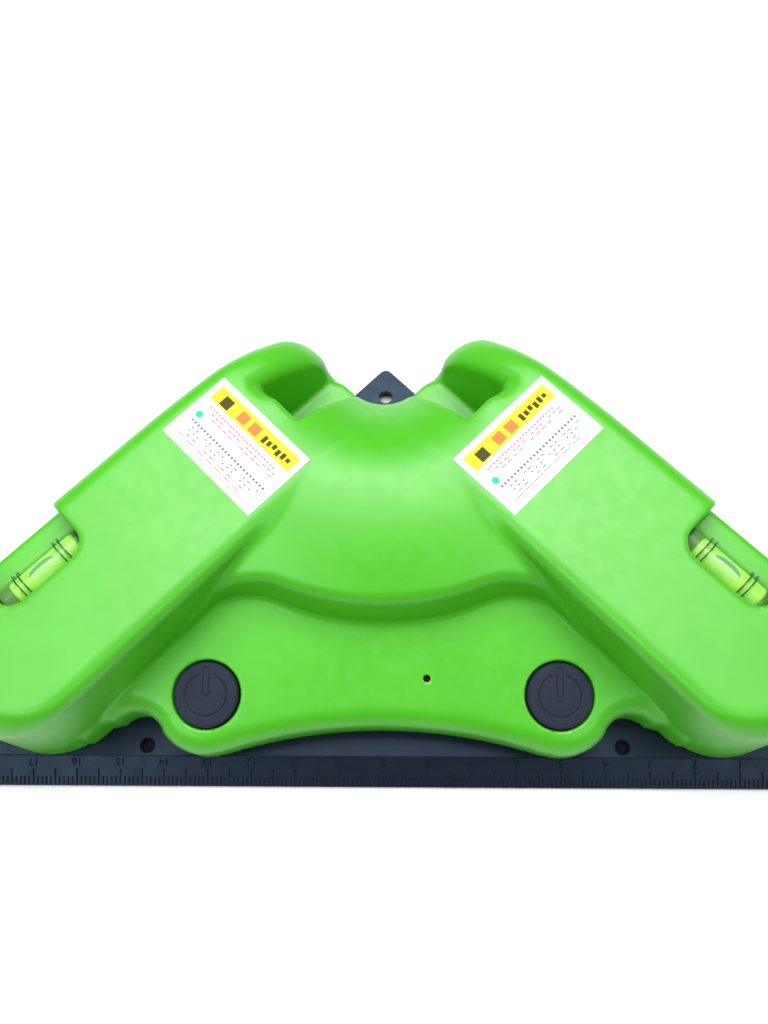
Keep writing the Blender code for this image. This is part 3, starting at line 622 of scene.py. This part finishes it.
def arc(cx, cz, radius, start, end, steps):
    """(radius, height) pairs round a quarter or any other part of a circle."""
    turns = [math.radians(start + (end - start) * i / steps) for i in range(steps + 1)]
    return [(cx + radius * math.cos(t), cz + radius * math.sin(t)) for t in turns]


# Ruler: the plate's sloping front edge rises from 0.8 mm to the plate's full 3 mm
RULER_EDGE, RULER_DEPTH, PLATE_THICK, HALF_RULER = 0.8, 6.4, 3.0, 95.0
RULER_SLOPE = (PLATE_THICK - RULER_EDGE) / RULER_DEPTH
MARK_PROUD = 0.09
ON_RULER = Matrix.Translation((0, 0, RULER_EDGE)) @ Matrix.Rotation(math.atan(RULER_SLOPE), 4, "X")


def ruler_marks():
    """Millimetre ticks and a bead along the top of the ruler's slope."""
    marks = Parts("ruler_marks", [MARK_INK, LOOKS["black_plastic"]])
    for number in range(181):
        x = 90 - number
        long = 3.9 if number % 5 == 0 else 2.1
        marks.add(slab(x - 0.17, x + 0.17, 0.35, long, -0.1, MARK_PROUD, 0.05), 0, ON_RULER)
    bead = slab(-HALF_RULER + 1.5, HALF_RULER - 1.5, 6.62, 6.98, -0.12, 0.13, 0.1)
    marks.add(bead, 1, ON_RULER)
    marks.finish("housing", "black_plastic", sharp=20)


def ruler_numbers():
    """Plain centimetre numbers that read from behind the ruler, as moulded in the plate."""
    for number in range(19):
        text = bpy.data.curves.new(f"ruler_number_{number}", "FONT")
        text.body = str(number)
        text.size = 2.5
        text.align_x = "CENTER"
        text.extrude = 0.12
        text.resolution_u = 3
        shown = bpy.data.objects.new(f"ruler_number_{number}", text)
        stand(shown)
        mesh = bpy.data.meshes.new_from_object(
            shown.evaluated_get(bpy.context.evaluated_depsgraph_get())
        )
        bpy.data.objects.remove(shown)
        turn = Matrix.Translation((90 - number * 10, 6.3, 0)) @ Matrix.Rotation(math.pi, 4, "Z")
        mesh.transform(HOME @ ON_RULER @ turn)
        mesh.materials.clear()
        mesh.materials.append(MARK_INK)
        made = bpy.data.objects.new(f"ruler_number_{number}", mesh)
        stand(made)
        settle(made, "housing", "black_plastic")


PIN_SPOT = (54.0, 8.8)


def pin_sockets():
    """Dark matte cups that line the two blind pin holes in front of the lobes: painted shade for
    the dark inside of the holes.
    """
    profile = [(1.74, 0.66), (1.74, 2.7), (1.5, 2.7), (1.5, 0.9), (0.2, 0.9)]
    for word, side in SIDES.items():
        cup = Parts(f"pin_shade_cup_{word}", [MARK_INK])
        cup.add(lathe(profile, 32), 0, at(side * PIN_SPOT[0], PIN_SPOT[1]))
        cup.finish("housing", "dark_fitting")


def button_height(x, y):
    """The button's face: slightly crowned, with a broken ring and a slim bar sunk in it."""
    r = np.hypot(x, y)
    rim = np.maximum(r - (BUTTON_R - 0.7), 0)
    face = BUTTON_TOP - 0.006 * r * r - (0.7 - np.sqrt(np.maximum(0.49 - rim * rim, 0)))
    turn = np.abs(np.degrees(np.arctan2(x, y)))
    ring = np.clip(1 - np.abs(r - 4.6) / 0.36, 0, 1) * ramp(turn, 17, 23)
    edge = np.hypot(np.maximum(np.abs(x) - 0.15, 0), np.maximum(np.abs(y - 2.9) - 2.6, 0)) - 0.5
    bar = np.clip(1 - np.abs(edge) / 0.2, 0, 1)
    return face - 0.26 * ramp(ring, 0, 1) - 0.2 * ramp(bar, 0, 1)


def power_button(word, side):
    spokes = 168
    radii = [0.12 * i for i in range(1, 54)] + [6.45, 6.55, 6.65, 6.75, 6.85, 6.95, 7.03, 7.08, 7.1]
    points = [(0, 0, float(button_height(np.array(0.0), np.array(0.0))))]
    turns = np.arange(spokes) * (2 * math.pi / spokes)
    for r in radii:
        x, y = r * np.cos(turns), r * np.sin(turns)
        points += list(zip(x.tolist(), y.tolist(), button_height(x, y).tolist()))
    for r, z in ((BUTTON_R, -2.3), (7.9, -2.3), (7.9, -3.1), (2.6, -3.1), (2.6, -3.25)):
        points += [(r * math.cos(t), r * math.sin(t), z) for t in turns]
    rings = len(radii) + 5
    faces = [(0, 1 + i, 1 + (i + 1) % spokes) for i in range(spokes)]
    for level in range(rings - 1):
        base = 1 + level * spokes
        for i in range(spokes):
            j = (i + 1) % spokes
            faces.append((base + i, base + spokes + i, base + spokes + j, base + j))
    last = 1 + (rings - 1) * spokes
    faces.append(tuple(range(last, last + spokes))[::-1])
    button = Parts(f"power_button_{word}_cap", [LOOKS["dark_rubber"]])
    button.add((points, faces))
    place = PANEL @ at(side * BUTTON_X, 0)
    button.finish(f"{word}_button", "dark_rubber", f"power_button_{word}", place=place)


LABEL_LOW, LABEL_TOP, LABEL_NEAR, LABEL_FAR = 34.92, 35.16, 57.4, 85.6
LABEL_REAR, LABEL_WIDE = -35.8, 18.0


def label(word, side):
    """A plain care label: bands, squares, dots and dashes where real ones carry words."""
    names = ["film", *INKS]
    sheet = Parts(f"label_{word}_print", [LOOKS["label_film"], *INKS.values()])
    long = LABEL_FAR - LABEL_NEAR
    sheet.add(slab(0, long, 0, LABEL_WIDE, LABEL_LOW, LABEL_TOP, 0.06))

    def mark(kind, x0, x1, y0, y1, layer=1):
        low, high = LABEL_TOP - 0.03, LABEL_TOP + 0.02 * layer
        sheet.add(slab(x0, x1, y0, y1, low, high, 0.005), names.index(kind))

    def row(kind, y, tall, dash, gap, start, end, skip=0):
        x, number = start, 0
        while x + dash < end:
            if not skip or number % skip:
                mark(kind, x, x + dash, y - tall / 2, y + tall / 2)
            x, number = x + dash + gap, number + 1

    edge, thin = 1.3, 0.13
    for y in (edge, LABEL_WIDE - edge):
        mark("violet", edge, long - edge, y - thin / 2, y + thin / 2)
    for x in (edge, long - edge):
        mark("violet", x - thin / 2, x + thin / 2, edge, LABEL_WIDE - edge)
    mark("yellow", edge + 0.2, long - edge - 0.2, edge + 0.2, 5.5)
    mark("olive", 4.0, 6.6, 2.5, 5.1, 2)
    mark("orange", 9.3, 11.9, 2.4, 4.9, 2)
    mark("orange", 13.1, 15.7, 2.4, 4.9, 2)
    for number in range(6):
        x = 17.2 + number * 1.45
        mark("olive", x, x + 0.95, 2.9 + 0.25 * (number % 2), 4.7 - 0.3 * (number % 3), 2)
    row("magenta", 6.9, 0.46, 0.5, 0.42, 3.4, 24.6)
    row("magenta", 7.9, 0.32, 0.9, 0.5, 3.4, 25.6, 4)
    row("magenta", 8.8, 0.32, 1.2, 0.6, 4.2, 25.6, 5)
    mark("cyan", 4.2, 26.0, 9.85, 10.35)
    sheet.add(lathe([(0.85, LABEL_TOP - 0.03), (0.85, LABEL_TOP + 0.03)], 24),
              names.index("emerald"), at(2.9, 9.8))  # fmt: skip
    row("grey", 11.7, 0.6, 0.55, 0.45, 2.6, 26.2)
    row("grey", 12.9, 0.28, 0.8, 0.6, 2.6, 26.0, 3)
    row("grey", 13.9, 0.34, 0.5, 0.9, 2.6, 25.2, 4)
    row("grey", 14.9, 0.26, 1.1, 0.8, 2.6, 24.0, 3)
    row("grey", 15.8, 0.2, 2.4, 0.6, 2.6, 24.0)
    if side > 0:
        spot = Matrix(((0, 1, 0, LABEL_REAR), (1, 0, 0, LABEL_NEAR), (0, 0, 1, 0), (0, 0, 0, 1)))
    else:
        spot = Matrix(((0, 1, 0, LABEL_REAR), (-1, 0, 0, LABEL_FAR), (0, 0, 1, 0), (0, 0, 0, 1)))
    place = arm_place(side) @ spot
    sheet.finish("housing", "label_film", f"label_{word}", place=place, sharp=20)


VIAL_MID, VIAL_ACROSS, VIAL_Z, VIAL_R, VIAL_HALF = 20.8, 81.4, 27.6, 4.2, 10.3
VIAL_WALL, LIQUID_GAP = 0.9, 0.08
RINGS = (14.6, 15.8, 25.3, 26.5)
BUBBLE_MID = 20.5


def ellipsoid(half, steps=32):
    """Points and faces of a ball stretched to three half sizes."""
    rings = [(math.cos(t), math.sin(t)) for t in np.linspace(-math.pi / 2, math.pi / 2, 15)[1:-1]]
    points, faces = lathe([(c, s) for c, s in rings], steps)
    return [(x * half[0], y * half[1], z * half[2]) for x, y, z in points], faces


def under_bore(shape, bore, aside, out):
    """Wraps a flat shape round the top of a vial's liquid: aside outwards, and out from it."""
    points, faces = shape
    wrapped = []
    for x, y, z in points:
        turn, r = (y + aside) / bore, bore + z + out
        across, height = VIAL_ACROSS + r * math.sin(turn), VIAL_Z + r * math.cos(turn)
        wrapped.append((BUBBLE_MID + x, across, height))
    return wrapped, faces


def vial(word, side):
    """A tube with two pairs of rings, its plug, its liquid and the bubble under its top."""
    arm = arm_place(side)
    end = VIAL_MID - VIAL_HALF
    soft = 0.6
    bore = VIAL_R - VIAL_WALL
    outside = arc(VIAL_R - soft, soft, soft, -90, 0, 5)
    outside += arc(VIAL_R - soft, 2 * VIAL_HALF - soft, soft, 0, 90, 5)
    inside = [(bore, 2 * VIAL_HALF), (bore, 1.6), (bore - 1.2, 1.0), (0.2, 1.0)]
    tube = Parts(f"vial_{word}_tube", [LOOKS["clear_acrylic"]])
    spot = along_arm(end, VIAL_ACROSS, VIAL_Z)
    if side > 0:
        flip = Matrix.Translation((0, 0, 2 * VIAL_HALF)) @ Matrix.Rotation(math.pi, 4, "X")
        spot = spot @ flip
    tube.add(lathe(outside + inside, 64), 0, spot)
    tube.finish("housing", "clear_acrylic", f"vial_tube_{word}", place=arm, sharp=50)
    bands = Parts(f"vial_{word}_rings", [RING_INK])
    for along in RINGS:
        half, out, wide = 0.16, VIAL_R + 0.05, 64
        turns = [(VIAL_R - 0.1, -half), (out, -half), (out, half), (VIAL_R - 0.1, half)]
        points = [
            (r * math.cos(t), r * math.sin(t), z)
            for r, z in turns
            for t in np.arange(wide) * (2 * math.pi / wide)
        ]
        faces = []
        for level in range(4):
            low, high = level * wide, (level + 1) % 4 * wide
            for i in range(wide):
                j = (i + 1) % wide
                faces.append((low + i, low + j, high + j, high + i))
        bands.add((points, faces), 0, along_arm(along, VIAL_ACROSS, VIAL_Z))
    bands.finish("housing", "dark_fitting", place=arm)
    inner = bore - LIQUID_GAP
    plug_at = end + 0.05 if side > 0 else end + 2 * VIAL_HALF - 2.45
    plug = Parts(f"vial_{word}_plug", [PLUG_LOOK])
    profile = arc(inner - 0.3, 0.3, 0.3, -90, 0, 4) + arc(inner - 0.3, 2.1, 0.3, 0, 90, 4)
    plug.add(lathe(profile, 48), 0, along_arm(plug_at, VIAL_ACROSS, VIAL_Z))
    plug.finish("housing", "dark_fitting", f"vial_plug_{word}", place=arm)
    fluid_at = end + 2.6 if side > 0 else end + 1.1
    long = 2 * VIAL_HALF - 3.7
    body = Parts(f"vial_{word}_liquid", [LOOKS["level_fluid"]])
    profile = arc(inner - 0.8, 0.8, 0.8, -90, 0, 6) + arc(inner - 0.8, long - 0.8, 0.8, 0, 90, 6)
    body.add(lathe(profile, 48), 0, along_arm(fluid_at, VIAL_ACROSS, VIAL_Z))
    body.finish("housing", "level_fluid", f"vial_fluid_{word}", place=arm)
    # The bubble's look is painted: a dark blue-green sheet as shade round its edge, a lighter sheet
    # as light inside it
    bubble = Parts(f"vial_{word}_bubble", [BUBBLE_PAINTED_SHADE, BUBBLE_PAINTED_LIGHT])
    bubble.add(under_bore(ellipsoid((4.15, 2.0, 0.1)), inner, 0.15, -0.06), 0)
    bubble.add(under_bore(ellipsoid((3.85, 1.35, 0.1)), inner, -0.45, -0.03), 1)
    bubble.finish("housing", "level_fluid", place=arm)


def door_grip():
    """Low ribs under the battery door, for a thumb to push against."""
    ribs = Parts("door_grip", [LOOKS["black_plastic"]])
    for number in range(6):
        y = 42.5 + number * 1.3
        bar = slab(-8.0, 8.0, y - 0.3, y + 0.3, 0, 0.32, 0.12)
        upside_down = Matrix.Translation((0, 0, 0.35)) @ Matrix.Scale(-1, 4, (0, 0, 1))
        ribs.add(bar, 0, upside_down)
    ribs.finish("battery_door", "black_plastic", sharp=25)


EASED_NODES = ("base_plate", "battery_door")


def carried_nodes():
    """Gives the CAD nodes that stay their looks, and eases the edges that can be seen."""
    slots = {row["node"]: row["material_slot"] for row in frame["record"]["subparts"]}
    for name, node in frame["nodes"].items():
        slot = slots[name]
        node.data.materials.clear()
        node.data.materials.append(LOOKS[slot])
        if name in EASED_NODES:
            add_modifier(
                node, "BEVEL", width=0.25 * MM, segments=2, limit_method="ANGLE",
                angle_limit=math.radians(50), use_clamp_overlap=True,
            )  # fmt: skip


settle(housing(LOOKS["green_plastic"]), "housing", "green_plastic", "upper_housing")
ruler_marks()
ruler_numbers()
pin_sockets()
for word, side in SIDES.items():
    power_button(word, side)
    label(word, side)
    vial(word, side)
door_grip()
carried_nodes()


CAMERA_SPOT = (5.32, -7.79, 211.05)
CAMERA_ANGLES = (1.232230, -0.075807, -0.073416)  # tilt down, turn and roll, in radians
CAMERA_LENS, SENSOR = 31.218, 36.0


def camera():
    """Looks down on the laid-out square from just in front of its ruler edge."""
    tilt, turn, roll = CAMERA_ANGLES
    down = Matrix(
        (
            (1, 0, 0),
            (0, -math.sin(tilt), -math.cos(tilt)),
            (0, math.cos(tilt), -math.sin(tilt)),
        )
    )
    facing = Matrix.Rotation(roll, 3, "Z") @ down @ Matrix.Rotation(turn, 3, "Z")
    right, below, ahead = facing
    made = bpy.data.cameras.new("camera")
    made.lens, made.sensor_width = CAMERA_LENS, SENSOR
    made.clip_start, made.clip_end = 0.001, 20.0
    view = bpy.data.objects.new("camera", made)
    placed = Matrix((right, -below, -ahead)).transposed().to_4x4()
    placed.translation = HOME @ Vector(CAMERA_SPOT)
    view.matrix_world = placed
    stand(view)
    bpy.context.scene.camera = view


def lamp(name, spot, target, size, power, colour):
    made = bpy.data.lights.new(name, "AREA")
    made.shape = "RECTANGLE"
    made.size, made.size_y = size
    made.energy = power
    made.color = colour
    placed = bpy.data.objects.new(name, made)
    placed.location = spot
    placed.rotation_mode = "QUATERNION"
    away = Vector(target) - Vector(spot)
    placed.rotation_quaternion = away.to_track_quat("-Z", "Y")
    stand(placed)


WHITE, COOL = (1, 1, 1), (0.88, 0.94, 1.0)
LAMPS = {  # spot, target and size in metres, power in watts, colour
    "key": ((0.0, 0.32, 0.75), (0, 0, 0), (0.72, 0.52), 9.2, WHITE),
    "left": ((-0.54, -0.10, 0.75), (-0.06, -0.02, 0), (0.35, 0.5), 2.8, WHITE),
    "right": ((0.54, -0.10, 0.75), (0.06, -0.02, 0), (0.35, 0.5), 1.8, WHITE),
    "front_left": ((-0.42, -0.50, 0.75), (-0.09, -0.05, 0), (0.3, 0.3), 1.8, COOL),
    "front_right": ((0.42, -0.50, 0.75), (0.09, -0.05, 0), (0.3, 0.3), 1.3, COOL),
}
WORLD_STRENGTH, FLOOR_REACH, FLOOR_DROP = 0.14, 3.0, 0.0002


def studio():
    camera()
    for name, settings in LAMPS.items():
        lamp(name, *settings)
    world = bpy.data.worlds.new("studio")
    world.use_nodes = True
    world.node_tree.nodes["Background"].inputs["Color"].default_value = (1, 1, 1, 1)
    world.node_tree.nodes["Background"].inputs["Strength"].default_value = WORLD_STRENGTH
    bpy.context.scene.world = world
    bpy.context.scene.view_settings.view_transform = "Standard"
    reach = FLOOR_REACH
    corners = [(-reach, -reach, 0), (reach, -reach, 0), (reach, reach, 0), (-reach, reach, 0)]
    mesh = bpy.data.meshes.new("floor")
    mesh.from_pydata(corners, [], [(0, 1, 2, 3)])
    mesh.materials.append(moulded("floor", (0.80, 0.80, 0.80), 0.85, 4.0, 0.0))
    floor = bpy.data.objects.new("floor", mesh)
    stand(floor)
    floor.location.z = -FLOOR_DROP


studio()
